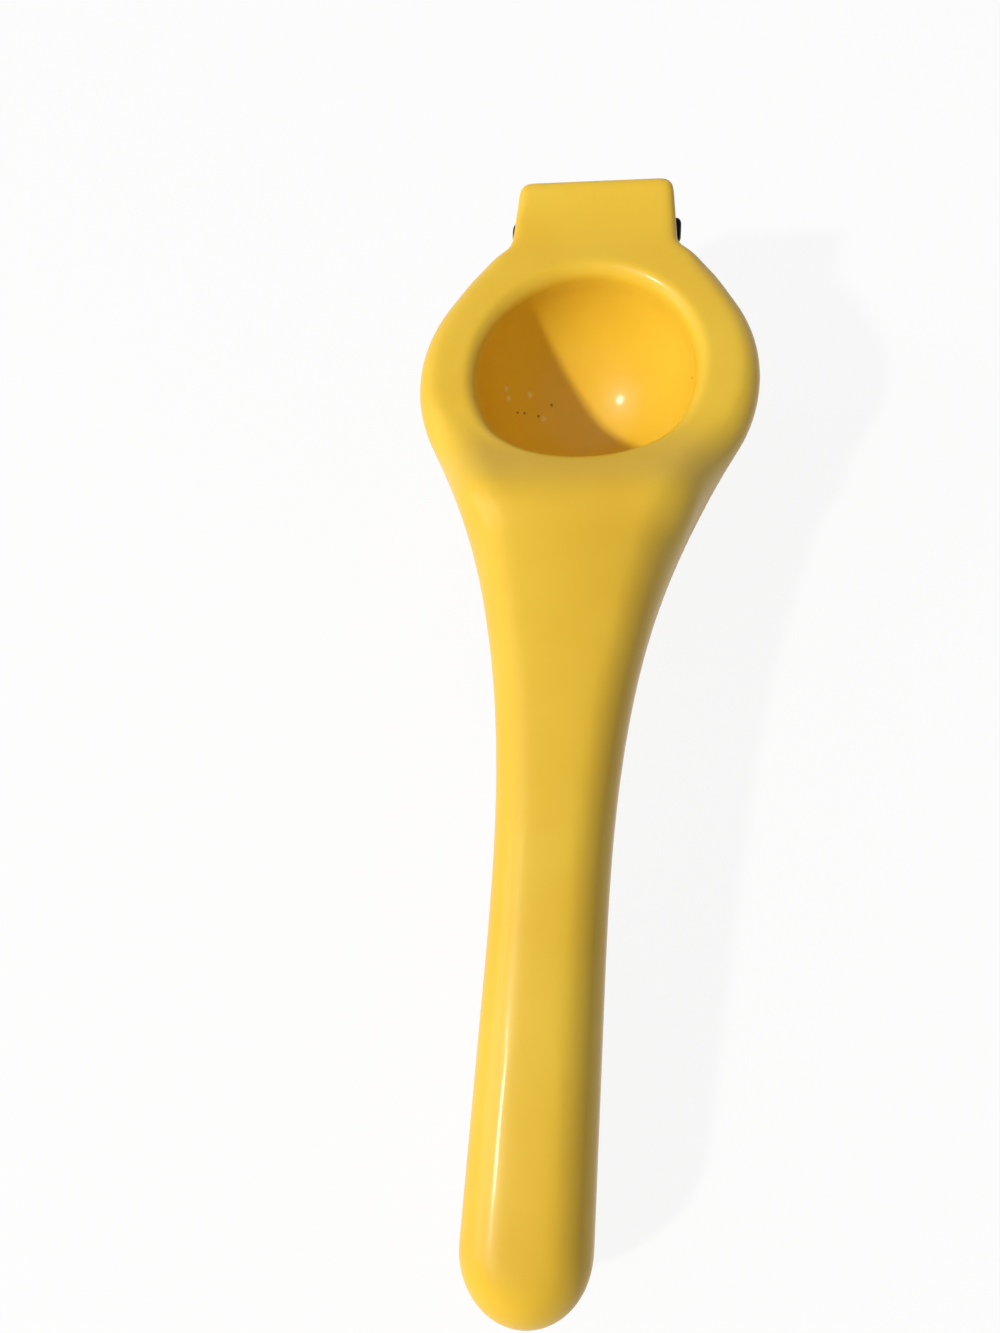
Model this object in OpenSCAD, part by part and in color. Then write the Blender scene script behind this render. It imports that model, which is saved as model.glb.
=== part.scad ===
// Hinged lemon squeezer: a press arm over a strainer arm, turning on one pin.
// Each arm is drawn with its ring level and its bowl centre at the origin,
// then the whole tool is tipped until the bowl and the lower handle rest on z = 0.
// x runs across the tool, y from the handle end to the hinge, z up.

/* [Overall] */
// Outer diameter of both rings
head_d = 70; // [66:1:76]
// How far the head bulges out of its circle beside the tab
shoulder = 1.6; // [0:0.1:2]
// From the centre of the bowl to the end of the handles
reach = 166.5; // [150:0.5:190]
// Gap between the closed arms
arm_gap = 0.3; // [0.2:0.1:0.8]

/* [Press arm] */
// Thickness of the press arm's ring
press_ring_t = 8; // [7.5:0.1:10]
// Rounding of the ring's upper outer edge
ring_edge_r = 4.8; // [2.5:0.1:5.2]
// Inner radius of the press cup
cup_r = 21.5; // [19:0.5:22]
// Depth of the press cup below the ring's top
cup_depth = 27.5; // [27:0.5:30]
// Fillet at the press cup's mouth
cup_fillet = 3.2; // [2.4:0.1:5]
// Wall of the press cup
cup_wall = 3; // [2.5:0.1:3.5]
// How far the handle's back stands above the ring
back_rise = 8.6; // [5:0.1:10]
// Length of the slope from the cup's mouth up to the handle's back
back_slope_l = 17; // [14:1:24]
// How far below the cup's middle the slope begins beside the cup
slope_side = 8; // [4:1:12]
// Length over which the slope beside the cup comes to its full height
slope_side_l = 20; // [14:1:26]

/* [Strainer arm] */
// Thickness of the strainer arm's ring
strainer_ring_t = 7.2; // [6:0.1:9]
// Room for peel between the press cup and the bowl's side
peel_gap = 4.1; // [3.8:0.1:5]
// Room for peel under the press cup
floor_gap = 6; // [5:0.5:8]
// Wall of the strainer bowl
bowl_wall = 3; // [2.5:0.1:3.3]
// Diameter of a juice hole
hole_d = 4.2; // [3:0.1:5]
// Spacing of the rings of juice holes
hole_pitch = 7.6; // [6.8:0.1:8]
// Rings of juice holes round the middle one
hole_rings = 2; // [1:1:2]
// Depth of the flats that the bowl and the lower handle rest on
rest_flat = 0.4; // [0.3:0.05:0.6]

/* [Handles] */
// Width of the handles at their narrowest
grip_w = 18.8; // [16:0.2:22]
// Width of the handles at their round end
end_w = 19.1; // [16:0.1:24]
// Rounding of the handles' outer edges
grip_edge_r = 6.3; // [4:0.1:7]
// Rounding of the edges where the arms meet
meet_edge_r = 0.8; // [0.4:0.1:1.2]
// Length over which the ring narrows to the grip
flare_l = 101.5; // [85:0.5:110]
// Angle below the ring's middle where the flare leaves the ring
flare_a = 28.3; // [24:0.1:32]
// Height of the meeting line at the grip above the rings' meeting line
meet_rise = 5; // [2:0.5:7]
// Thickness of the lower handle at the grip
lower_grip_t = 9.8; // [8:0.2:12]
// Rise of the handles towards their end
grip_slope = 0.02; // [0:0.005:0.04]
// Wall left round the hollow in each handle
handle_wall = 3.2; // [2.4:0.1:4]

/* [Hinge] */
// From the centre of the bowl to the pin
hinge_y = 40.7; // [40:0.1:44]
// Height of the pin above the rings' meeting line
hinge_z = 1.5; // [0:0.1:2]
// Diameter of the pin
pin_d = 5; // [4:0.5:6]
// How far each pin end stands out of its cheek
pin_stand = 1.4; // [0.5:0.1:2]
// Diameter of the strainer arm's knuckle
knuckle_d = 11.2; // [10:0.2:11.6]
// Running clearance between the pin and the knuckle, on the radius
pin_clearance = 0.05; // [0.03:0.01:0.1]
// Clearance round the knuckle and beside it
knuckle_clearance = 0.4; // [0.3:0.05:0.6]
// Thickness of each cheek
cheek_t = 3.9; // [3.2:0.1:4.4]
// Radius of the cheeks round the pin
cheek_r = 6.8; // [6.2:0.1:7]
// Width of the tab at its far edge
tab_w = 33.8; // [30:0.2:35]
// Width that the tab gains on its way to the ring
tab_flare_w = 3.6; // [2:0.2:5]
// How far the tab reaches past the pin
tab_reach = 6.2; // [5:0.2:7]
// How far the tab's far edge stands above the ring
tab_rise = 3.5; // [2.6:0.1:4.5]
// Radius of the tab's far corners
tab_corner_r = 2.5; // [2.2:0.1:4]
// Rounding of the tab's upper edges
tab_edge_r = 1.7; // [1:0.1:2.1]
// Fillet between the tab and the ring
tab_fillet_r = 2.8; // [1:0.1:4]

/* [Hidden] */
$fn = 96;
enamel = "gold";
steel = "dimgray";
eps = 0.01;
big = 60;

ring_r = head_d / 2;
grip_r = grip_w / 2;
end_r = end_w / 2;
pin_r = pin_d / 2;
knuckle_r = knuckle_d / 2;
pocket_r = knuckle_r + knuckle_clearance;
tab_y = hinge_y + tab_reach;

// Levels of the two rings
press_z0 = arm_gap / 2;
press_z1 = press_z0 + press_ring_t;
strainer_z1 = -arm_gap / 2;
strainer_z0 = strainer_z1 - strainer_ring_t;

// Press cup: a half sphere under a straight wall
cup_z = press_z1 - cup_depth + cup_r;
cup_out_r = cup_r + cup_wall;

// Strainer bowl: a half sphere round the press cup
bowl_r = cup_out_r + peel_gap;
bowl_out_r = bowl_r + bowl_wall;
bowl_z = cup_z - cup_out_r - floor_gap + bowl_r;

// Flare of the handles, tangent to the ring where it leaves it
flare_y0 = -ring_r * sin(flare_a);
flare_y1 = flare_y0 - flare_l;
flare_w = ring_r * cos(flare_a) - grip_r;
flare_p = flare_l * tan(flare_a) / flare_w;
end_y = -(reach - end_r);

// The slope up to the handle's back climbs away from the cup's mouth all round its near side
mouth_r = cup_r + cup_fillet;
back_y0 = -mouth_r;
back_y1 = back_y0 - back_slope_l;
meet_y0 = -ring_r * 0.8;
meet_y1 = -ring_r * 2;

function clamp01(v) = max(0, min(1, v));
function ease(v) = v * v * (3 - 2 * v);
function rise_out(v) = 1 - (1 - v) * (1 - v);
function slope_up(y, y0) = grip_slope * max(0, y0 - y);

// Height of the line where the closed arms meet, and of each arm's two faces
function meet_z(y) = meet_rise * ease(clamp01((meet_y0 - y) / (meet_y0 - meet_y1))) + slope_up(y, meet_y1);
function cheek_z(y) =
    abs(y - hinge_y) < cheek_r ? hinge_z - sqrt(pow(cheek_r, 2) - pow(y - hinge_y, 2)) : big;
function tab_top(y) = tab_rise * pow(clamp01((y - ring_r * 0.85) / (tab_y - ring_r * 0.85)), 2);
function back_top(x, y) =
    back_rise * rise_out(clamp01((norm([x, y]) - mouth_r) / back_slope_l)) * ease(clamp01((-slope_side - y) / slope_side_l));
function press_top(x, y) = press_z1 + tab_top(y) + back_top(x, y) + slope_up(y, back_y1);
function press_bottom(y) = min(meet_z(y) + press_z0, cheek_z(y));
function strainer_top(y) = meet_z(y) + strainer_z1;
lower_drop = strainer_z0 - (meet_rise + strainer_z1 - lower_grip_t);
function strainer_bottom(y) =
    strainer_z0 - lower_drop * ease(clamp01((meet_y0 - y) / (meet_y0 - meet_y1))) + slope_up(y, meet_y1);

// Rounding of the outer edge along the tool
function grip_share(y) = ease(clamp01((back_y0 - y) / (ring_r * 1.2)));
function tab_share(y) = ease(clamp01((y - ring_r * 0.75) / (ring_r * 0.2)));
function outer_edge(y, press) =
    ring_edge_r + (grip_edge_r - ring_edge_r) * grip_share(y)
    + (press ? (tab_edge_r - ring_edge_r) * tab_share(y) : 0);

// Half width of a handle
function flare_x(y) = grip_r + flare_w * pow(clamp01((y - flare_y1) / flare_l), flare_p);
function grip_x(y) = grip_r + (end_r - grip_r) * clamp01((flare_y1 - y) / (flare_y1 - end_y));

// Radius of the head at an angle from its middle, a circle with fuller shoulders
function head_r(a) = ring_r + shoulder * pow(sin(max(0, min(90, 1.6 * a))), 2);

function arc(c, r, a0, a1, n) =
    [for (i = [0:n]) let (a = a0 + (a1 - a0) * i / n) [c[0] + r * cos(a), c[1] + r * sin(a)]];

// Right-hand edge of the tab, from its far corner to its fillet on the ring
tab_lean = atan(tab_flare_w / 2 / (tab_y - ring_r * 0.85));
tab_n = [cos(tab_lean), sin(tab_lean)];
tab_u = [sin(tab_lean), -cos(tab_lean)];
tab_corner = [tab_w / 2 - tab_corner_r, tab_y - tab_corner_r];
tab_side = tab_corner + tab_corner_r * tab_n;
fillet_a = tab_side + tab_fillet_r * tab_n;
fillet_s = -fillet_a * tab_u
    - sqrt(pow(fillet_a * tab_u, 2) - fillet_a * fillet_a + pow(ring_r + shoulder + tab_fillet_r, 2));
fillet_c = fillet_a + fillet_s * tab_u;
fillet_ring_a = atan2(fillet_c[1], fillet_c[0]);
function tab_x(y) = tab_side[0] + (tab_side[1] - y) * tan(tab_lean);
tab_edge = concat(
    arc(tab_corner, tab_corner_r, 90, tab_lean, 4),
    [for (a = [70, 90, 108, 124, 138, 150, 160, 167])
        let (y = hinge_y + cheek_r * cos(a))
        if (y < tab_side[1] - eps && y > (fillet_c - tab_fillet_r * tab_n)[1] + eps) [tab_x(y), y]],
    arc(fillet_c, tab_fillet_r, 180 + tab_lean, 180 + fillet_ring_a, 3));

// Right-hand edge of a ring from angle a0, and on along the handle to its end
ring_steps = 18;
lip_steps = 3;
slope_steps = 6;
flare_steps = 9;
grip_steps = 3;
end_steps = 9;
end_last_a = 85;
flare_ys = concat(
    [for (i = [1:lip_steps]) flare_y0 + (back_y0 - flare_y0) * i / lip_steps],
    [for (i = [1:slope_steps]) back_y0 - back_slope_l * i / slope_steps],
    [for (i = [1:flare_steps]) back_y1 + (flare_y1 - back_y1) * i / flare_steps]);
function handle_edge(a0) = concat(
    [for (i = [1:ring_steps]) let (a = a0 - (a0 + flare_a) * i / ring_steps) head_r(a) * [cos(a), sin(a)]],
    [for (y = flare_ys) [flare_x(y), y]],
    [for (i = [1:grip_steps]) let (y = flare_y1 + (end_y - flare_y1) * i / grip_steps) [grip_x(y), y]],
    [for (i = [1:end_steps]) let (a = -end_last_a * i / end_steps) [end_r * cos(a), end_y + end_r * sin(a)]]);

function mirrored(edge) = concat(edge, [for (i = [len(edge) - 1:-1:0]) [-edge[i][0], edge[i][1]]]);

press_outline = mirrored(concat(tab_edge, handle_edge(fillet_ring_a)));
ring_first_a = 85;
strainer_outline = mirrored(concat([head_r(ring_first_a) * [cos(ring_first_a), sin(ring_first_a)]], handle_edge(ring_first_a)));

// Outward direction at a point of an outline that runs clockwise
function outward(o, i) =
    let (n = len(o), d = o[(i + 1) % n] - o[(i + n - 1) % n]) [-d[1], d[0]] / norm(d);

// A closed body over an outline whose big edge is at the top or at the bottom
big_steps = 6;
small_steps = 2;
cap_steps = 12;
function big_loop(o, a, press) =
    [for (i = [0:len(o) - 1])
        let (r = min(outer_edge(o[i][1], press), 0.9 * grip_r),
             p = o[i] - r * (1 - sin(a)) * outward(o, i),
             drop = r * (1 - cos(a)))
        [p[0], p[1], press ? press_top(p[0], p[1]) - drop : strainer_bottom(p[1]) + drop]];
function small_loop(o, a, press) =
    [for (i = [0:len(o) - 1])
        let (p = o[i] - meet_edge_r * (1 - cos(a)) * outward(o, i),
             drop = meet_edge_r * (1 - sin(a)))
        [p[0], p[1], press ? press_bottom(p[1]) + drop : strainer_top(p[1]) - drop]];
module body(o, press) {
    n = len(o);
    loops = concat(
        [for (k = [0:big_steps]) big_loop(o, 90 * k / big_steps, press)],
        [for (k = [0:small_steps]) small_loop(o, 90 * k / small_steps, press)]);
    m = len(loops);
    sides = [for (k = [0:m - 2], i = [0:n - 1])
        let (a = k * n + i, b = k * n + (i + 1) % n, c = a + n, d = b + n)
        each [[a, c, b], [b, c, d]]];

    // The press arm's upper face is a grid, because its slope curves round the cup
    steps = press ? cap_steps : 1;
    last = n / 2 - 1;
    inner = steps == 1 ? [] : [for (i = [1:last - 1], j = [1:steps - 1])
        let (right = loops[0][i], x = right[0] * (1 - 2 * j / steps))
        [x, right[1], press_top(x, right[1])]];
    function grid(i, j) =
        j == 0 || j < steps / 2 && (i == 0 || i == last) ? i
        : j == steps || i == 0 || i == last ? n - 1 - i
        : m * n + (i - 1) * (steps - 1) + j - 1;
    big_cap = [for (i = [0:last - 1], j = [0:steps - 1])
        let (a = grid(i, j), b = grid(i + 1, j), c = grid(i + 1, j + 1), d = grid(i, j + 1))
        for (face = [[a, b, c], [a, c, d]])
            if (face[0] != face[1] && face[1] != face[2] && face[2] != face[0]) face];
    small_cap = [for (i = [0:last - 1])
        let (e = (m - 1) * n, a = e + i, b = e + i + 1, c = e + n - 2 - i, d = e + n - 1 - i)
        each [[a, c, b], [a, d, c]]];
    faces = concat(sides, big_cap, small_cap);
    points = concat([for (loop = loops) each loop], inner);
    polyhedron(points, press ? faces : [for (f = faces) [f[2], f[1], f[0]]], convexity = 6);
}

// A handle's open hollow, cut from the face where the arms meet
hollow_y0 = back_y1 - handle_wall;
hollow_steps = 14;
module hollow(floor_z, depth) {
    y1 = end_y;
    hollow_edge = concat(
        [for (i = [0:hollow_steps]) let (y = hollow_y0 + (y1 - hollow_y0) * i / hollow_steps)
            [(y > flare_y1 ? flare_x(y) : grip_x(y)) - handle_wall, y]],
        [for (a = [-15:-15:-75]) [(end_r - handle_wall) * cos(a), y1 + (end_r - handle_wall) * sin(a)]]);
    translate([0, hollow_y0, floor_z])
        rotate([-atan(grip_slope), 0, 0])
            translate([0, -hollow_y0, depth > 0 ? 0 : depth])
                linear_extrude(abs(depth)) polygon(mirrored(hollow_edge));
}

cup_steps = 16;
fillet_steps = 8;
fillet_last_a = 78;
function cup_curve(r, z) = [for (i = [0:cup_steps]) let (a = -90 + 90 * i / cup_steps) [r * cos(a), z + r * sin(a)]];

// The hollow of the press cup, with its filleted mouth
module cup_hollow() {
    mouth = [for (i = [0:fillet_steps]) let (a = 180 - fillet_last_a * i / fillet_steps)
        [cup_r + cup_fillet * (1 + cos(a)), press_z1 - cup_fillet * (1 - sin(a))]];
    last = mouth[fillet_steps];
    rim_z = last[1] + (mouth_r - last[0]) / tan(fillet_last_a);
    rotate_extrude()
        polygon(concat(cup_curve(cup_r, cup_z), mouth,
            [[mouth_r, rim_z], [mouth_r + back_rise, rim_z + back_rise], [0, rim_z + back_rise]]));
}

module along_x(length, r) {
    translate([-length / 2, hinge_y, hinge_z])
        rotate([0, 90, 0])
            cylinder(h = length, r = r);
}

cheek_gap_w = 2 * (tab_x(hinge_y) - cheek_t);
knuckle_w = cheek_gap_w - 2 * knuckle_clearance;
pin_l = 2 * (tab_x(hinge_y) + pin_stand);

// Room for the knuckle and its neck between the cheeks
module knuckle_pocket() {
    along_x(cheek_gap_w, pocket_r);
    translate([-cheek_gap_w / 2, hinge_y, -big / 2])
        cube([cheek_gap_w, 2 * tab_reach, big / 2 + hinge_z + pocket_r]);
    translate([-cheek_gap_w / 2, hinge_y - cheek_r - knuckle_clearance, -big / 2])
        cube([cheek_gap_w, 2 * cheek_r, big / 2 + arm_gap]);
}

// Turns both arms until the bowl and the lower handle's end rest on the table
heel_y = end_y - end_r + grip_edge_r;
heel = [heel_y, strainer_bottom(heel_y)];
heel_d = norm([heel[0], bowl_z - heel[1]]);
rest_a = asin(bowl_out_r / heel_d) - atan2(bowl_z - heel[1], -heel[0]);
module at_rest() {
    translate([0, 0, bowl_out_r - rest_flat])
        rotate([rest_a, 0, 0])
            translate([0, 0, -bowl_z])
                children();
}

module upper_arm() {
    color(enamel)
        at_rest()
            difference() {
                union() {
                    body(press_outline, true);
                    rotate_extrude()
                        polygon(concat(cup_curve(cup_out_r, cup_z), [[cup_out_r, press_z1 - cup_fillet], [0, press_z1 - cup_fillet]]));
                }
                cup_hollow();
                hollow(press_top(0, hollow_y0) - handle_wall, -big);
                knuckle_pocket();
                along_x(pin_l, pin_r);
            }
}

// The neck joins the knuckle to the ring between the cheeks
module neck() {
    neck_y = ring_r - 2 * bowl_wall;
    foot_y = hinge_y - cheek_r - 2 * knuckle_clearance;
    translate([-knuckle_w / 2, 0, 0])
        rotate([90, 0, 90])
            linear_extrude(knuckle_w)
                polygon([[neck_y, strainer_z1], [neck_y, strainer_z0 + meet_edge_r], [foot_y, strainer_z0 + meet_edge_r],
                         [hinge_y, hinge_z - knuckle_r], [hinge_y, strainer_z1]]);
    along_x(knuckle_w, knuckle_r);
}

module juice_holes() {
    translate([0, 0, -big])
        cylinder(h = big, d = hole_d);
    for (ring = [1:hole_rings], i = [0:6 * ring - 1])
        rotate(60 / ring * i)
            translate([ring * hole_pitch, 0, -big])
                cylinder(h = big, d = hole_d);
}

module bowl_hollow() {
    rotate_extrude()
        polygon(concat(cup_curve(bowl_r, bowl_z), [[bowl_r, big / 2], [0, big / 2]]));
}

module lower_arm() {
    color(enamel)
        difference() {
            at_rest()
                difference() {
                    union() {
                        body(strainer_outline, false);
                        rotate_extrude()
                            polygon(concat(
                                [for (p = cup_curve(bowl_out_r, bowl_z)) [p[0], min(p[1], strainer_z0 + 1)]],
                                [[0, strainer_z0 + 1]]));
                        neck();
                    }
                    bowl_hollow();
                    juice_holes();
                    hollow(strainer_bottom(hollow_y0) + handle_wall, big);
                    along_x(pin_l, pin_r + pin_clearance);
                }
            translate([-big, -2 * reach, -big])
                cube([2 * big, 3 * reach, big]);
        }
}

module hinge_pin() {
    dome = pin_stand / 2;
    half_l = pin_l / 2;
    color(steel)
        at_rest()
            translate([0, hinge_y, hinge_z])
                rotate([0, 90, 0])
                    rotate_extrude()
                        polygon(concat(
                            [[0, -half_l]],
                            [for (a = [-75:15:0]) [pin_r - dome + dome * cos(a), -half_l + dome + dome * sin(a)]],
                            [for (a = [0:15:75]) [pin_r - dome + dome * cos(a), half_l - dome + dome * sin(a)]],
                            [[0, half_l]]));
}

upper_arm();
lower_arm();
hinge_pin();
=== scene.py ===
import math

import bmesh
import bpy
from mathutils import Matrix, Vector


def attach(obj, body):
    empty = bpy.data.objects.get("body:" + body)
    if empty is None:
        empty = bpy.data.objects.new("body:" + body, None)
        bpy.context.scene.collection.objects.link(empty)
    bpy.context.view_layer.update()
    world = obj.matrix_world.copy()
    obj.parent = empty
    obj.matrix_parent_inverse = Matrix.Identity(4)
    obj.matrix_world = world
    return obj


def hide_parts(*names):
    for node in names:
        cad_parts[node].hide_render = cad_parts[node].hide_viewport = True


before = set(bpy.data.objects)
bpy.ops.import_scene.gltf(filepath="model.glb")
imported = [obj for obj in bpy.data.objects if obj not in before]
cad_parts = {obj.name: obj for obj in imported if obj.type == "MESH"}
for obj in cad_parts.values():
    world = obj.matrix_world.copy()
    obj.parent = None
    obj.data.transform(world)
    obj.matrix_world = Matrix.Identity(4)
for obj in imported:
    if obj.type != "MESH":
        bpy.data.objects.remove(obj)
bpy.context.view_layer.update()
print("frame loaded with", len(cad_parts), "nodes")

# Everything is drawn in millimetres with the ring level and the bowl's centre at the origin,
# then tipped to the way the closed tool rests on the table, and brought to metres last.
tool = {
    "ringRadius": 35.0,
    "shoulder": 1.8,  # the head is a little fuller beside the tab
    "shoulderStart": 30.0,  # degrees round the ring from its right-hand side
    "shoulderSpan": 26.0,
    "reach": 166.5,  # from the bowl's centre to the handle's end
    "armGap": 0.3,
    "gripHalf": 9.4,
    "endRadius": 9.55,
    "gripRounding": 6.3,
    "meetRounding": 0.8,
    "flareLength": 101.5,
    "flareAngle": 28.3,
    "riseStart": -28.0,  # the handles rise behind the ring, then run on with a slight slope
    "riseSpan": 42.0,
    "meetRise": 5.0,
    "gripStart": -70.0,
    "gripSlope": 0.02,
    "handleWall": 3.2,
    "hollowStart": -44.9,
    "hollowDepth": 60.0,  # more than enough to open it at the parting line
    "smoothPasses": 5,
    "restTurn": 10.1594,
    "bowlCentre": 0.25,
    "bowlLift": 31.2,
}
toRest = (Matrix.Translation((0, 0, tool["bowlLift"]))
          @ Matrix.Rotation(math.radians(tool["restTurn"]), 4, "X")
          @ Matrix.Translation((0, 0, -tool["bowlCentre"])))


def clamp(v):
    return max(0.0, min(1.0, v))


def ease(v):
    v = clamp(v)
    return v * v * (3 - 2 * v)


# The arms' outline is worked out for the right-hand half, from the hinge to the handle's end
flareTop = -tool["ringRadius"] * math.sin(math.radians(tool["flareAngle"]))
flareEnd = flareTop - tool["flareLength"]
flareGain = tool["ringRadius"] * math.cos(math.radians(tool["flareAngle"])) - tool["gripHalf"]
flarePower = tool["flareLength"] * math.tan(math.radians(tool["flareAngle"])) / flareGain
endCentre = -(tool["reach"] - tool["endRadius"])


def handleHalf(y):
    if y > flareEnd:
        return tool["gripHalf"] + flareGain * clamp((y - flareEnd) / tool["flareLength"]) ** flarePower
    share = clamp((flareEnd - y) / (flareEnd - endCentre))
    return tool["gripHalf"] + (tool["endRadius"] - tool["gripHalf"]) * share


def headEdge(angle):
    fuller = ease((angle - tool["shoulderStart"]) / tool["shoulderSpan"])
    r = tool["ringRadius"] + tool["shoulder"] * fuller
    return (r * math.cos(math.radians(angle)), r * math.sin(math.radians(angle)))


def arc(centre, radius, start, stop, steps):
    turn = [math.radians(start + (stop - start) * i / steps) for i in range(steps + 1)]
    return [(centre[0] + radius * math.cos(a), centre[1] + radius * math.sin(a)) for a in turn]


def armOutline(firstAngle, ringSteps=64, flareSteps=60, gripSteps=12, endSteps=30):
    low = -tool["flareAngle"]
    ring = [headEdge(firstAngle + (low - firstAngle) * i / ringSteps) for i in range(1, ringSteps + 1)]
    flare = [flareTop - tool["flareLength"] * i / flareSteps for i in range(1, flareSteps + 1)]
    grip = [flareEnd + (endCentre - flareEnd) * i / gripSteps for i in range(1, gripSteps + 1)]
    end = arc((0, endCentre), tool["endRadius"], 0, -87, endSteps)[1:]
    return ring + [(handleHalf(y), y) for y in flare + grip] + end


def meetHeight(y):  # where the two arms meet
    rise = tool["meetRise"] * ease((tool["riseStart"] - y) / tool["riseSpan"])
    return rise + tool["gripSlope"] * max(0, tool["gripStart"] - y)


def newObject(name, bm):
    mesh = bpy.data.meshes.new(name)
    bm.to_mesh(mesh)
    bm.free()
    made = bpy.data.objects.new(name, mesh)
    bpy.context.scene.collection.objects.link(made)
    return made


# One arm's solid inside the outline, with a big rounding on its outer edge and a small one
# at the parting line; bigUp says which way the outer edge faces
def castBody(name, rightHalf, top, bottom, rounding, bigUp, cuts, inset, bigSteps=12, smallSteps=3):
    outline = [Vector((x, y, 0)) for x, y in rightHalf]
    outline += [Vector((-x, y, 0)) for x, y in reversed(rightHalf)]
    count = len(outline)
    outward = []
    for i in range(count):
        step = outline[(i + 1) % count] - outline[i - 1]
        outward.append(Vector((-step.y, step.x, 0)).normalized())

    # each loop is (inset, distance from its face, face), from the rounded edge to the parting line
    loops = []
    for i in range(bigSteps + 1):
        a = math.radians(90 * i / bigSteps)
        loops.append((1 - math.sin(a), 1 - math.cos(a), "big"))
    for i in range(smallSteps + 1):
        a = math.radians(90 * i / smallSteps)
        loops.append((1 - math.cos(a), 1 - math.sin(a), "small"))

    def place(verts, layer, loop):
        for v in verts:
            i = v[layer]
            r = rounding(outline[i].y) if loop[2] == "big" else tool["meetRounding"]
            p = outline[i] - outward[i] * (inset + r * loop[0])
            onTop = (loop[2] == "big") == bigUp
            p.z = top(p.x, p.y) - r * loop[1] if onTop else bottom(p.x, p.y) + r * loop[1]
            v.co = p

    bm = bmesh.new()
    layer = bm.verts.layers.int.new("outline")
    verts = bmesh.ops.create_circle(bm, segments=count, radius=1)["verts"]
    for i, v in enumerate(verts):
        v[layer] = i
    place(verts, layer, loops[0])
    edges = list(bm.edges)
    ends = [(edges, top if bigUp else bottom)]
    for loop in loops[1:]:
        made = bmesh.ops.extrude_edge_only(bm, edges=edges)["geom"]
        verts = [g for g in made if isinstance(g, bmesh.types.BMVert)]
        fresh = set(verts)
        edges = [g for g in made if isinstance(g, bmesh.types.BMEdge)]
        edges = [e for e in edges if all(v in fresh for v in e.verts)]
        place(verts, layer, loop)
    ends.append((edges, bottom if bigUp else top))
    half = count // 2

    def staysOnSide(edge):
        return (edge.verts[0][layer] < half) == (edge.verts[1][layer] < half)

    for edges, height in ends:  # the faces run across from the right half to the left
        faces = bmesh.ops.bridge_loops(bm, edges=[e for e in edges if staysOnSide(e)])["faces"]
        if cuts:
            across = {e for f in faces for e in f.edges if not staysOnSide(e)}
            made = bmesh.ops.subdivide_edges(bm, edges=list(across), cuts=cuts, use_grid_fill=True)
            for v in made["geom_inner"]:
                if isinstance(v, bmesh.types.BMVert):
                    v.co.z = height(v.co.x, v.co.y)
    bmesh.ops.recalc_face_normals(bm, faces=bm.faces)
    return newObject(name, bm)


def lathe(name, profile, steps=160):
    bm = bmesh.new()
    verts = [bm.verts.new((r, 0, z)) for r, z in profile]
    edges = [bm.edges.new(pair) for pair in zip(verts, verts[1:])]
    bmesh.ops.spin(bm, geom=verts + edges, cent=(0, 0, 0), axis=(0, 0, 1),
                   angle=2 * math.pi, steps=steps, use_merge=True)
    bmesh.ops.remove_doubles(bm, verts=bm.verts, dist=0.0001)
    bmesh.ops.recalc_face_normals(bm, faces=bm.faces)
    if bm.calc_volume(signed=True) < 0:
        bmesh.ops.reverse_faces(bm, faces=bm.faces)
    return newObject(name, bm)


def prism(name, outline, depth, turn=Matrix.Identity(4)):
    bm = bmesh.new()
    verts = bmesh.ops.create_circle(bm, segments=len(outline), radius=1, cap_ends=True)["verts"]
    for v, (x, y) in zip(verts, outline):
        v.co = (x, y, 0)
    made = bmesh.ops.extrude_face_region(bm, geom=list(bm.faces))["geom"]
    lifted = [g for g in made if isinstance(g, bmesh.types.BMVert)]
    bmesh.ops.translate(bm, verts=lifted, vec=(0, 0, depth))
    bmesh.ops.recalc_face_normals(bm, faces=bm.faces)
    bm.transform(turn)
    return newObject(name, bm)


def acrossX(width):  # turns a prism drawn in y and z to lie across the tool
    return Matrix(((0, 0, 1, -width / 2), (1, 0, 0, 0), (0, 1, 0, 0), (0, 0, 0, 1)))


def block(name, low, high):
    outline = [(low[0], low[1]), (high[0], low[1]), (high[0], high[1]), (low[0], high[1])]
    return prism(name, outline, high[2] - low[2], Matrix.Translation((0, 0, low[2])))


def barAlongX(name, length, radius, segments=96):
    turns = [2 * math.pi * i / segments for i in range(segments)]
    outline = [(radius * math.cos(a), radius * math.sin(a)) for a in turns]
    place = Matrix.Translation((-length / 2, hinge["y"], hinge["z"]))
    return prism(name, outline, length, place @ Matrix.Rotation(math.radians(90), 4, "Y"))


def evaluated(made):
    graph = bpy.context.evaluated_depsgraph_get()
    mesh = bpy.data.meshes.new_from_object(made.evaluated_get(graph))
    made.modifiers.clear()
    old = made.data
    made.data = mesh
    bpy.data.meshes.remove(old)


def combine(base, other, operation):
    step = base.modifiers.new("combine", "BOOLEAN")
    step.operation = operation
    step.solver = "MANIFOLD"
    step.object = other
    evaluated(base)
    bpy.data.objects.remove(other)


def handleHollow(name, level, depth, wall):
    start = tool["hollowStart"]
    rows = [start + (endCentre - start) * i / 40 for i in range(41)]
    right = [(handleHalf(y) - wall, y) for y in rows]
    right += arc((0, endCentre), tool["endRadius"] - wall, -8, -80, 9)
    outline = right + [(-x, y) for x, y in reversed(right)]
    turn = (Matrix.Translation((0, start, level)) @ Matrix.Rotation(-math.atan(tool["gripSlope"]), 4, "X")
            @ Matrix.Translation((0, -start, min(depth, 0))))
    return prism(name, outline, abs(depth), turn)


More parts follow.
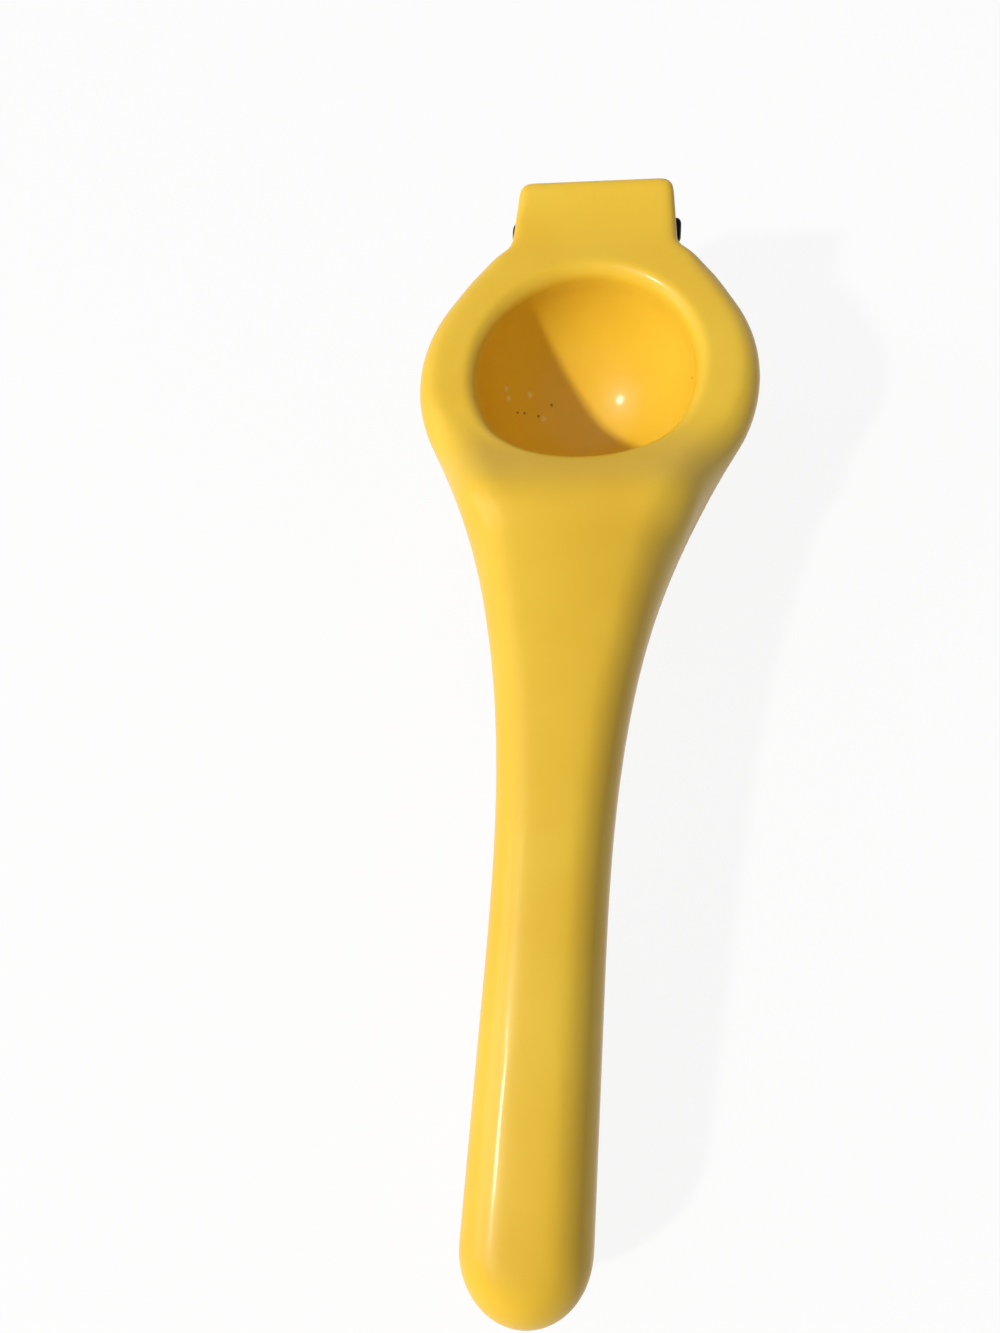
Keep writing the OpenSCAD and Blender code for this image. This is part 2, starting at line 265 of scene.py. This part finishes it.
def halfSphere(radius, centre, steps=40):
    return [(radius * math.cos(math.radians(a)), centre + radius * math.sin(math.radians(a)))
            for a in [-90 + 90 * i / steps for i in range(steps + 1)]]


# One closed skin of even quads, its edges worn round as a poured casting's are under enamel
def castSkin(made, voxel, settle=None):
    step = made.modifiers.new("skin", "REMESH")
    step.mode = "VOXEL"
    step.voxel_size = voxel
    evaluated(made)
    bm = bmesh.new()
    bm.from_mesh(made.data)
    for i in range(tool["smoothPasses"]):
        bmesh.ops.smooth_vert(bm, verts=bm.verts, factor=0.5,
                              use_axis_x=True, use_axis_y=True, use_axis_z=True)
    if settle:
        for v in bm.verts:
            settle(v)
    bm.transform(toRest)
    bm.transform(Matrix.Scale(0.001, 4))
    bm.to_mesh(made.data)
    bm.free()
    made.data.materials.clear()
    for face in made.data.polygons:
        face.use_smooth = True
    print(made.name, "skin has", sum(len(p.vertices) - 2 for p in made.data.polygons), "triangles")


def linear(code):  # an sRGB hex code as linear red, green, blue and alpha
    parts = [int(code[i:i + 2], 16) / 255 for i in (1, 3, 5)]
    return [p / 12.92 if p <= 0.04045 else ((p + 0.055) / 1.055) ** 2.4 for p in parts] + [1.0]


def addNode(tree, kind, settings=None, links=None):
    node = tree.nodes.new(kind)
    for key, value in (settings or {}).items():
        if isinstance(key, str) and hasattr(node, key):
            setattr(node, key, value)
        else:
            node.inputs[key].default_value = value
    for key, source in (links or {}).items():
        tree.links.new(source, node.inputs[key])
    return node


def blankMaterial(name):
    material = bpy.data.materials.new(name)
    material.use_nodes = True
    tree = material.node_tree
    tree.nodes.clear()
    return material, tree


# Stove enamel over cast aluminium: an even deep yellow with a soft shine, a faint orange
# peel, slow waves left by the casting under it, a few nibs where dust dried in and pits; the nibs carry a
# painted highlight in a lighter colour and the pits painted shade in a dark one.
enamel = {
    "colour": "#E9C038",
    "deepColour": "#E5B72E",
    # the nibs' lighter colour is a painted highlight on each nib
    "nibColour": "#F6DE96",
    # the pits' dark colour is painted shade in each pit
    "pitColour": "#8A5A08",
    "roughness": 0.42,
    "roughnessSpread": 0.03,
    "specular": 0.27,
    "coat": 0.12,
    "coatRoughness": 0.12,
    "peelSize": 1.1,  # mm, drawn a little coarser than life so that it shows
    "peelDepth": 0.006,
    "waveSize": 16.0,
    "waveDepth": 0.12,
    "cloudSize": 24.0,
    "nibRadius": 1.1,
    "pitRadius": 0.5,
    "nibHeight": 0.2,
    "nibs": [(-18.2, 6.1, 22.6), (-14.0, 10.2, 19.8), (-10.8, 6.9, 15.7), (-18.5, 7.6, 24.1)],
    "pits": [(-14.9, 5.8, 18.5), (-16.3, 4.9, 19.6), (-9.3, 10.4, 16.5), (-12.0, 6.9, 16.5),
             (21.7, 3.6, 30.2)],
}


def yellowEnamel(name):
    material, tree = blankMaterial(name)
    place = addNode(tree, "ShaderNodeTexCoord").outputs["Object"]
    clouds = addNode(tree, "ShaderNodeTexNoise", {"Scale": 1000 / enamel["cloudSize"], "Detail": 3.0},
                     {"Vector": place})
    colour = addNode(tree, "ShaderNodeValToRGB", {}, {"Fac": clouds.outputs["Fac"]})
    colour.color_ramp.elements[0].position = 0.35
    colour.color_ramp.elements[1].position = 0.70
    colour.color_ramp.elements[0].color = linear(enamel["colour"])
    colour.color_ramp.elements[1].color = linear(enamel["deepColour"])
    colour = colour.outputs["Color"]

    height = None
    # Each nib is raised by the bump and painted lighter as a painted highlight; each pit is dented by it and
    # painted dark as painted shade
    for kind, lift in (("nib", 1.0), ("pit", -1.0)):
        for spot in enamel[kind + "s"]:
            centre = tuple(c / 1000 for c in spot)
            radius = enamel[kind + "Radius"] / 1000
            away = addNode(tree, "ShaderNodeVectorMath", {"operation": "DISTANCE", 1: centre}, {0: place})
            bead = addNode(tree, "ShaderNodeMapRange",
                           {"interpolation_type": "SMOOTHSTEP", "From Min": radius, "From Max": 0.0},
                           {"Value": away.outputs["Value"]})
            # mixes the painted highlight or painted shade into the enamel's colour
            mixed = addNode(tree, "ShaderNodeMix", {"data_type": "RGBA", 7: linear(enamel[kind + "Colour"])},
                            {0: bead.outputs["Result"], 6: colour})
            colour = mixed.outputs[2]
            raised = addNode(tree, "ShaderNodeMath", {"operation": "MULTIPLY_ADD", 1: lift, 2: 0.0},
                             {0: bead.outputs["Result"]})
            if height:
                tree.links.new(height, raised.inputs[2])
            height = raised.outputs["Value"]

    waves = addNode(tree, "ShaderNodeTexNoise", {"Scale": 1000 / enamel["waveSize"], "Detail": 1.0},
                    {"Vector": place})
    peel = addNode(tree, "ShaderNodeTexNoise", {"Scale": 1000 / enamel["peelSize"], "Detail": 2.0},
                   {"Vector": place})
    bump = addNode(tree, "ShaderNodeBump", {"Distance": enamel["waveDepth"] / 1000, "Strength": 1.0},
                   {"Height": waves.outputs["Fac"]})
    bump = addNode(tree, "ShaderNodeBump", {"Distance": enamel["peelDepth"] / 1000, "Strength": 1.0},
                   {"Height": peel.outputs["Fac"], "Normal": bump.outputs["Normal"]})
    bump = addNode(tree, "ShaderNodeBump", {"Distance": enamel["nibHeight"] / 1000, "Strength": 1.0},
                   {"Height": height, "Normal": bump.outputs["Normal"]})
    dull = addNode(tree, "ShaderNodeMapRange",
                   {"To Min": enamel["roughness"] - enamel["roughnessSpread"],
                    "To Max": enamel["roughness"] + enamel["roughnessSpread"]},
                   {"Value": clouds.outputs["Fac"]})
    shader = addNode(tree, "ShaderNodeBsdfPrincipled",
                     {"IOR": 1.5, "Specular IOR Level": enamel["specular"], "Coat Weight": enamel["coat"],
                      "Coat Roughness": enamel["coatRoughness"]},
                     {"Base Color": colour, "Roughness": dull.outputs["Result"],
                      "Normal": bump.outputs["Normal"], "Coat Normal": bump.outputs["Normal"]})
    addNode(tree, "ShaderNodeOutputMaterial", {}, {"Surface": shader.outputs["BSDF"]})
    return material


# Plain steel wire, cut and pressed in: turned rings on the ends and a dark brown-grey tarnish
pinSteel = {
    "colour": "#34312D",
    "tarnish": "#1A1815",
    "smoothest": 0.42,
    "roughest": 0.62,
    "ringSpacing": 1.57,  # mm
    "ringDepth": 0.02,
    "tarnishSize": 1.6,
}


def darkSteel(name, axisPoint):
    material, tree = blankMaterial(name)
    place = addNode(tree, "ShaderNodeTexCoord").outputs["Object"]
    toAxis = tuple(-c for c in axisPoint)
    centred = addNode(tree, "ShaderNodeMapping", {"Location": toAxis}, {"Vector": place})
    ringScale = 1000 / pinSteel["ringSpacing"] * 2 * math.pi / 20  # the node draws 20 radians per unit
    rings = addNode(tree, "ShaderNodeTexWave",
                    {"wave_type": "RINGS", "rings_direction": "X", "Scale": ringScale, "Distortion": 0.6},
                    {"Vector": centred.outputs["Vector"]})
    blotch = addNode(tree, "ShaderNodeTexNoise", {"Scale": 1000 / pinSteel["tarnishSize"], "Detail": 4.0},
                     {"Vector": place})
    colour = addNode(tree, "ShaderNodeValToRGB", {}, {"Fac": blotch.outputs["Fac"]})
    colour.color_ramp.elements[0].position = 0.38
    colour.color_ramp.elements[1].position = 0.66
    colour.color_ramp.elements[0].color = linear(pinSteel["colour"])
    colour.color_ramp.elements[1].color = linear(pinSteel["tarnish"])
    rough = addNode(tree, "ShaderNodeMapRange",
                    {"To Min": pinSteel["smoothest"], "To Max": pinSteel["roughest"]},
                    {"Value": blotch.outputs["Fac"]})
    bump = addNode(tree, "ShaderNodeBump", {"Distance": pinSteel["ringDepth"] / 1000, "Strength": 0.6},
                   {"Height": rings.outputs["Fac"]})
    shader = addNode(tree, "ShaderNodeBsdfPrincipled", {"Metallic": 1.0},
                     {"Base Color": colour.outputs["Color"], "Roughness": rough.outputs["Result"],
                      "Normal": bump.outputs["Normal"]})
    addNode(tree, "ShaderNodeOutputMaterial", {}, {"Surface": shader.outputs["BSDF"]})
    return material


# The pin, its bore and the knuckle share one axis across the tool
hinge = {
    "y": 40.7,
    "z": 1.5,
    "pinRadius": 2.5,
    "pinStand": 1.4,
    "pinBevel": 1.0,
    "boreRadius": 2.85,
    "knuckleRadius": 5.6,
    "knuckleWidth": 26.0,
    "knuckleEnd": 198.7,  # degrees, where its round runs out into the root's top
    "rootBack": 29.0,  # the block that joins the knuckle to the bowl's rim
    "rootFront": 33.1,
    "rootTop": -0.3,
    "rootBottom": -6.55,
    "pocketRadius": 6.0,  # the room that the knuckle turns in
    "pocketBack": 33.5,
    "pocketTop": 0.3,
    "pocketStart": 191.5,  # degrees, where its round runs out into the pocket's top
    "pocketBeyond": 12.0,
    "cheekRadius": 6.8,
    "cheekGap": 26.8,
    "throughLength": 60.0,
}

# The press dish, the hinge tab and the handle are one casting
upperArm = {
    "ringTop": 8.15,
    "ringRounding": 4.8,
    "cupRadius": 22.3,
    "cupOval": 1.085,  # the photograph shows the dish a little longer than wide
    "wallOval": 1.045,  # and so is the cup's outside, by half as much
    "cupCentre": 2.95,
    "cupFillet": 3.0,
    "cupOuter": 24.5,
    "lipInside": 1.0,  # how far to either side of the lip the skin is drawn back onto it
    "lipOutside": 1.5,
    "dishReach": 0.8,  # the same for the dish itself
    "backRise": 8.6,
    "slopeStart": 10.5,
    "slopeEnd": 40.0,
    "crown": 0.0065,  # how much the handle's back falls to its sides
    "crownStart": -32.0,
    "crownSpan": 12.0,
    "flareRounding": 8.0,
    "flareStart": -8.0,  # the outer edge's rounding grows along the flare
    "flareSpan": 20.0,
    "gripStart": -38.0,  # and shrinks again along the grip
    "gripSpan": 25.0,
    "neckStart": 26.2,  # and towards the tab
    "neckSpan": 7.0,
    "tabRoot": 0.85,  # share of the ring's radius where the tab begins to rise
    "tabRise": 3.5,
    "tabReach": 46.9,
    "tabHalf": 16.9,
    "tabFlare": 1.5,
    "tabCorner": 2.5,
    "tabRounding": 1.7,
    "tabFillet": 2.8,
    "voxel": 0.66,
}
tabStart = tool["ringRadius"] * upperArm["tabRoot"]


def faceHeight(x, y):  # the ring's face, the tab and the handle's back, without the dish
    v = clamp((-upperArm["slopeStart"] - y) / (upperArm["slopeEnd"] - upperArm["slopeStart"]))
    back = upperArm["backRise"] * v ** 3 * (10 - 15 * v + 6 * v * v)
    tab = upperArm["tabRise"] * clamp((y - tabStart) / (upperArm["tabReach"] - tabStart)) ** 2
    crown = upperArm["crown"] * x * x * ease((upperArm["crownStart"] - y) / upperArm["crownSpan"])
    return upperArm["ringTop"] + tab + back - crown + tool["gripSlope"] * max(0, -upperArm["slopeEnd"] - y)


# The dish's lip is one fillet that rides on the ring's face and touches its slope: this gives
# the distance from the dish's axis, the fillet's centre height, where it ends and its centre
def lipRound(x, y):
    inner = upperArm["cupRadius"]
    rim = inner + upperArm["cupFillet"]
    r = max(0.01, math.hypot(x, y / upperArm["cupOval"]))
    high = faceHeight(x * rim / r, y * rim / r)
    climb = (high - faceHeight(x * inner / r, y * inner / r)) / upperArm["cupFillet"]
    lean = math.sqrt(1 + climb * climb)
    return r, high - upperArm["cupFillet"] * lean, rim - upperArm["cupFillet"] * climb / lean, rim


def pressTop(x, y):
    r, level, last, rim = lipRound(x, y)
    if r >= last:
        return faceHeight(x, y)
    return level + math.sqrt(max(0, upperArm["cupFillet"] ** 2 - (rim - r) ** 2))


def pressBottom(x, y):
    low = meetHeight(y) + tool["armGap"] / 2
    away = abs(y - hinge["y"])
    if away < hinge["cheekRadius"]:
        low = min(low, hinge["z"] - math.sqrt(hinge["cheekRadius"] ** 2 - away ** 2))
    return low


def pressRounding(y):
    flare = upperArm["flareRounding"] - upperArm["ringRounding"]
    grip = tool["gripRounding"] - upperArm["flareRounding"]
    tab = upperArm["tabRounding"] - upperArm["ringRounding"]
    flare *= ease((upperArm["flareStart"] - y) / upperArm["flareSpan"])
    grip *= ease((upperArm["gripStart"] - y) / upperArm["gripSpan"])
    tab *= ease((y - upperArm["neckStart"]) / upperArm["neckSpan"])
    return upperArm["ringRounding"] + flare + grip + tab


tabLean = math.degrees(math.atan(upperArm["tabFlare"] / (upperArm["tabReach"] - tabStart)))
tabCorner = (upperArm["tabHalf"] - upperArm["tabCorner"], upperArm["tabReach"] - upperArm["tabCorner"])
sideX = tabCorner[0] + upperArm["tabCorner"] * math.cos(math.radians(tabLean))
sideY = tabCorner[1] + upperArm["tabCorner"] * math.sin(math.radians(tabLean))


def tabHalf(y):
    return sideX + (sideY - y) * math.tan(math.radians(tabLean))


# The fillet's centre slides down beside the tab until the fillet touches the ring too
filletReach = tool["ringRadius"] + tool["shoulder"] + upperArm["tabFillet"]
filletStep = 0.005
filletCentre = None
for i in range(4000):
    y = sideY - i * filletStep
    x = tabHalf(y) + upperArm["tabFillet"] / math.cos(math.radians(tabLean))
    if math.hypot(x, y) <= filletReach:
        filletCentre = (x, y)
        break
ringAngle = math.degrees(math.atan2(filletCentre[1], filletCentre[0]))
tabSide = arc(tabCorner, upperArm["tabCorner"], 90, tabLean, 8)
sideEnd = filletCentre[1] - upperArm["tabFillet"] * math.sin(math.radians(tabLean))
tabSide += [(tabHalf(y), y) for y in [sideY + (sideEnd - sideY) * i / 24 for i in range(1, 24)]]
tabSide += arc(filletCentre, upperArm["tabFillet"], 180 + tabLean, 180 + ringAngle, 8)

upper = castBody("upper_arm_enamelled", tabSide + armOutline(ringAngle), pressTop, pressBottom,
                 pressRounding, bigUp=True, cuts=71, inset=0)
deck = upperArm["ringTop"] - upperArm["cupFillet"]


def ovalDish(name, radius, cover, longer):  # half a ball and a straight wall up to the cover
    profile = halfSphere(radius, upperArm["cupCentre"]) + [(radius, cover), (0, cover)]
    made = lathe(name, profile)
    made.data.transform(Matrix.Scale(longer, 4, (0, 1, 0)))
    return made


combine(upper, ovalDish("dish", upperArm["cupOuter"], deck, upperArm["wallOval"]), "UNION")
combine(upper, ovalDish("dish_hollow", upperArm["cupRadius"], 40, upperArm["cupOval"]), "DIFFERENCE")
under = pressTop(0, tool["hollowStart"]) - tool["handleWall"]
hollow = handleHollow("handle_hollow", under, -tool["hollowDepth"], tool["handleWall"])
combine(upper, hollow, "DIFFERENCE")
beyond = hinge["y"] + hinge["pocketBeyond"]
room = [(hinge["pocketBack"], -30), (hinge["pocketBack"], hinge["pocketTop"])]
room += arc((hinge["y"], hinge["z"]), hinge["pocketRadius"], hinge["pocketStart"], 90, 40)
room += [(beyond, hinge["z"] + hinge["pocketRadius"]), (beyond, -30)]
combine(upper, prism("knuckle_room", room, hinge["cheekGap"], acrossX(hinge["cheekGap"])), "DIFFERENCE")
combine(upper, barAlongX("pin_seat", hinge["throughLength"], hinge["pinRadius"]), "DIFFERENCE")


def trueDish(v):  # draws a smoothed point of the dish or its lip back onto the true shape
    oval = Matrix.Scale(upperArm["cupOval"], 4, (0, 1, 0))
    inner = upperArm["cupRadius"]
    p = oval.inverted() @ v.co
    away = p - Vector((0, 0, upperArm["cupCentre"]))
    r, level, last, rim = lipRound(v.co.x, v.co.y)
    if away.z <= 0:
        if abs(away.length - inner) < upperArm["dishReach"]:
            v.co = oval @ (p - away + away * inner / away.length)
    elif away.z > 1 and inner - upperArm["lipInside"] < r < rim + upperArm["lipOutside"]:
        across = Vector((p.x, p.y, 0)) / r
        if p.z <= level:
            v.co = oval @ (across * inner + Vector((0, 0, p.z)))
        elif r < last:
            turn = Vector((r - rim, p.z - level)).normalized() * upperArm["cupFillet"]
            v.co = oval @ (across * (rim + turn.x) + Vector((0, 0, level + turn.y)))
        else:
            v.co.z = faceHeight(v.co.x, v.co.y)


castSkin(upper, upperArm["voxel"], trueDish)
upper.data.materials.append(yellowEnamel("yellow_stove_enamel_upper"))
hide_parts("upper_arm")
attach(upper, "upper")

# The strainer bowl, the knuckle and the lower handle are one casting
lowerArm = {
    "ringBottom": -7.35,
    "ringRounding": 4.8,
    "roundingStart": -24.7,
    "inset": 1.2,  # the lower arm hides under the upper one
    "gripThickness": 9.8,
    "bowlRadius": 28.6,
    "bowlWall": 3.0,
    "holeRadius": 2.1,
    "holePitch": 7.6,
    "holeRings": 2,
    "holeLength": 30.0,
    "holeLevel": -25.0,
    "voxel": 0.68,
}


def strainerTop(x, y):
    return meetHeight(y) - tool["armGap"] / 2


def strainerBottom(x, y):
    drop = lowerArm["ringBottom"] - (tool["meetRise"] - tool["armGap"] / 2 - lowerArm["gripThickness"])
    drop *= ease((tool["riseStart"] - y) / tool["riseSpan"])
    return lowerArm["ringBottom"] - drop + tool["gripSlope"] * max(0, tool["gripStart"] - y)


def strainerRounding(y):
    more = tool["gripRounding"] - lowerArm["ringRounding"]
    return lowerArm["ringRounding"] + more * ease((lowerArm["roundingStart"] - y) / tool["riseSpan"])


lower = castBody("lower_arm_enamelled", [headEdge(85)] + armOutline(85), strainerTop, strainerBottom,
                 strainerRounding, bigUp=False, cuts=0, inset=lowerArm["inset"])
outer = lowerArm["bowlRadius"] + lowerArm["bowlWall"]
level = lowerArm["ringBottom"] + 1
under = [p for p in halfSphere(outer, tool["bowlCentre"]) if p[1] < level - 0.2]
under += [(math.sqrt(outer ** 2 - (tool["bowlCentre"] - level) ** 2), level), (0, level)]
combine(lower, lathe("bowl", under), "UNION")
knuckle = [(hinge["rootBack"], hinge["rootTop"]), (hinge["rootBack"], hinge["rootBottom"])]
knuckle += [(hinge["rootFront"], hinge["rootBottom"])]
knuckle += arc((hinge["y"], hinge["z"]), hinge["knuckleRadius"], -90, hinge["knuckleEnd"], 80)
combine(lower, prism("knuckle", knuckle, hinge["knuckleWidth"], acrossX(hinge["knuckleWidth"])), "UNION")
inside = halfSphere(lowerArm["bowlRadius"], tool["bowlCentre"]) + [(lowerArm["bowlRadius"], 30), (0, 30)]
combine(lower, lathe("bowl_hollow", inside), "DIFFERENCE")

bm = bmesh.new()
spots = [(0, 0)]
for ring in range(1, lowerArm["holeRings"] + 1):
    out = ring * lowerArm["holePitch"]
    for i in range(6 * ring):
        a = math.radians(60 / ring * i)
        spots.append((out * math.cos(a), out * math.sin(a)))
for x, y in spots:
    bmesh.ops.create_cone(bm, cap_ends=True, segments=48, radius1=lowerArm["holeRadius"],
                          radius2=lowerArm["holeRadius"], depth=lowerArm["holeLength"],
                          matrix=Matrix.Translation((x, y, lowerArm["holeLevel"])))
combine(lower, newObject("juice_holes", bm), "DIFFERENCE")
floorOfHollow = strainerBottom(0, tool["hollowStart"]) + tool["handleWall"]
wall = tool["handleWall"] + lowerArm["inset"]
combine(lower, handleHollow("handle_hollow", floorOfHollow, tool["hollowDepth"], wall), "DIFFERENCE")
combine(lower, barAlongX("pin_bore", hinge["throughLength"], hinge["boreRadius"]), "DIFFERENCE")
table = block("table", (-60, -250, -40), (60, 90, 0))  # cuts the bowl's floor flat where it rests
table.data.transform(toRest.inverted())
combine(lower, table, "DIFFERENCE")
castSkin(lower, lowerArm["voxel"])
lower.data.materials.append(yellowEnamel("yellow_stove_enamel_lower"))
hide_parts("lower_arm")
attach(lower, "lower")

# The pin's ends are left a little proud of the tab
half = tabHalf(hinge["y"]) + hinge["pinStand"]
bm = bmesh.new()
bmesh.ops.create_cone(bm, cap_ends=True, segments=96, radius1=hinge["pinRadius"],
                      radius2=hinge["pinRadius"], depth=2 * half)
rims = [e for e in bm.edges if all(abs(abs(v.co.z) - half) < 0.001 for v in e.verts)]
bmesh.ops.bevel(bm, geom=rims, offset=hinge["pinBevel"], offset_type="OFFSET", segments=5, profile=0.5,
                affect="EDGES", material=-1)
bm.transform(Matrix.Translation((0, hinge["y"], hinge["z"])) @ Matrix.Rotation(math.radians(90), 4, "Y"))
bm.transform(toRest)
bm.transform(Matrix.Scale(0.001, 4))
pin = newObject("hinge_pin_steel", bm)
for face in pin.data.polygons:
    face.use_smooth = True
pinCentre = toRest @ Vector((0, hinge["y"], hinge["z"])) / 1000
pin.data.materials.append(darkSteel("tarnished_pin_steel", pinCentre))
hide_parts("hinge_pin")
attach(pin, "upper")
print("castings and pin made")

# A plain pale table in a white room
stage = {
    "floorSeen": "#F4F4F4",
    "floorBounce": "#B0B0B0",  # the object gets no more light from below than a dull table gives
    "floorShare": 0.9,  # how much of plain white the camera sees over the shaded floor
    "skyColour": "#FFFFFF",
    "skyStrength": 0.295,
    "keyColour": "#FFFDF9",
    "keyDirection": (-0.559, -0.584, 0.588),
    "keySize": 0.18,
    "keyPower": 72,
    "shineDirection": (-0.552, -0.209, 0.807),
    "shineSize": 0.42,
    "shinePower": 62,
    "wallDirection": (-0.92, -0.12, 0.37),
    "wallSize": 1.6,
    "wallPower": 22,
    "lampDistance": 3.0,
    "lampAim": 0.03,  # metres over the table
    "floorRadius": 4.0,
}


def seenDirectly(tree):  # 1 for rays that show the background itself, 0 for those that light the tool
    path = addNode(tree, "ShaderNodeLightPath")
    seen = addNode(tree, "ShaderNodeMath", {"operation": "MAXIMUM"},
                   {0: path.outputs["Is Camera Ray"], 1: path.outputs["Is Glossy Ray"]})
    return addNode(tree, "ShaderNodeMath", {"operation": "MAXIMUM"},
                   {0: seen.outputs["Value"], 1: path.outputs["Is Transmission Ray"]}).outputs["Value"]


bm = bmesh.new()
bmesh.ops.create_circle(bm, cap_ends=True, segments=96, radius=stage["floorRadius"])
floor = newObject("floor", bm)
material, tree = blankMaterial("pale_table")
seen = seenDirectly(tree)
floorColour = addNode(tree, "ShaderNodeMix",
                      {"data_type": "RGBA", 6: linear(stage["floorBounce"]), 7: linear(stage["floorSeen"])},
                      {0: seen}).outputs[2]
matt = addNode(tree, "ShaderNodeBsdfDiffuse", {}, {"Color": floorColour})
glow = addNode(tree, "ShaderNodeEmission", {"Color": (1, 1, 1, 1), "Strength": 1.0})
share = addNode(tree, "ShaderNodeMath", {"operation": "MULTIPLY", 1: stage["floorShare"]}, {0: seen})
both = addNode(tree, "ShaderNodeMixShader", {},
               {0: share.outputs["Value"], 1: matt.outputs["BSDF"], 2: glow.outputs["Emission"]})
addNode(tree, "ShaderNodeOutputMaterial", {}, {"Surface": both.outputs["Shader"]})
floor.data.materials.append(material)

world = bpy.data.worlds.new("white_room")
bpy.context.scene.world = world
world.use_nodes = True
world.node_tree.nodes.clear()
tint = [c * stage["skyStrength"] for c in linear(stage["skyColour"])]
colour = addNode(world.node_tree, "ShaderNodeMix", {"data_type": "RGBA", 6: tint, 7: (1, 1, 1, 1)},
                 {0: seenDirectly(world.node_tree)}).outputs[2]
sky = addNode(world.node_tree, "ShaderNodeBackground", {}, {"Color": colour})
addNode(world.node_tree, "ShaderNodeOutputWorld", {}, {"Surface": sky.outputs["Background"]})


def softLamp(name, direction, size, power):
    data = bpy.data.lights.new(name, "AREA")
    data.shape = "DISK"
    data.size = size
    data.energy = power
    data.color = linear(stage["keyColour"])[:3]
    made = bpy.data.objects.new(name, data)
    bpy.context.scene.collection.objects.link(made)
    toLamp = Vector(direction).normalized()
    made.location = toLamp * stage["lampDistance"] + Vector((0, 0, stage["lampAim"]))
    made.rotation_euler = toLamp.to_track_quat("Z", "Y").to_euler()
    return made


# One window, whose shine stands a little higher than its shadows show, as the photograph has it
window = softLamp("window", stage["keyDirection"], stage["keySize"], stage["keyPower"])
window.visible_glossy = False
shine = softLamp("window_shine", stage["shineDirection"], stage["shineSize"], stage["shinePower"])
shine.visible_diffuse = False
softLamp("pale_wall", stage["wallDirection"], stage["wallSize"], stage["wallPower"])

view = {
    "eye": (0.015103, -0.160924, 0.178482),
    "turn": (32.2958, 6.3704, 6.0494),
    "lens": 27.03,
    "sensor": 36,
}
cameraData = bpy.data.cameras.new("camera")
cameraData.lens = view["lens"]
cameraData.sensor_width = view["sensor"]
cameraData.clip_start = 0.01
camera = bpy.data.objects.new("camera", cameraData)
camera.location = view["eye"]
camera.rotation_euler = [math.radians(a) for a in view["turn"]]
bpy.context.scene.collection.objects.link(camera)
bpy.context.scene.camera = camera
bpy.context.scene.view_settings.view_transform = "Standard"
print("stage, light and camera set")
